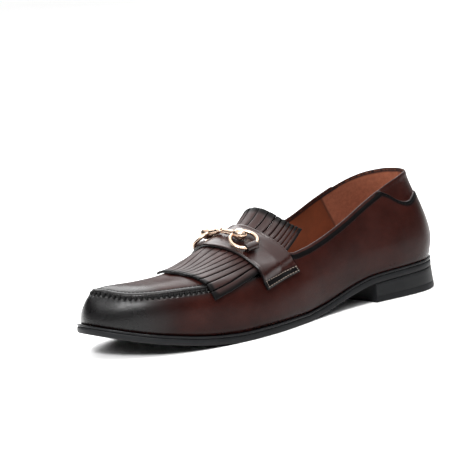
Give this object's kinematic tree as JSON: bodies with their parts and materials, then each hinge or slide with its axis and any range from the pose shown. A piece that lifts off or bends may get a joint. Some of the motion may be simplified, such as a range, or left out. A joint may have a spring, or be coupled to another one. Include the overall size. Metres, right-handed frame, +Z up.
{
  "type": "kiltie loafer",
  "caption": "Low leather slip-on shoe with a raised apron seam, a fringed tongue, a saddle strap and a snaffle bit, on a thin dark sole with a low block heel.",
  "frame": {"origin": "middle of the bounding box's base, on the floor that the shoe stands on", "axes": "+X from heel to toe, +Y to the outer side of this left shoe, +Z up"},
  "size_m": [0.2988, 0.1014, 0.0866],
  "materials": {
    "brown_leather": "smooth calf, soft gloss",
    "tan_lining": "matte lining leather",
    "black_sole": "satin edge dressing",
    "pale_gold_metal": "polished"
  },
  "bodies": {
    "root": {"outsole": "black_sole", "heel": "black_sole", "upper": "brown_leather", "back_strip": "brown_leather", "insole": "tan_lining", "kiltie_tongue": "brown_leather", "saddle_strap": "brown_leather", "bit_ring_outer": "pale_gold_metal", "bit_ring_inner": "pale_gold_metal", "bit_bar_outer": "pale_gold_metal", "bit_bar_inner": "pale_gold_metal", "ring_loop_outer": "brown_leather", "ring_loop_inner": "brown_leather"}
  },
  "joints": []
}
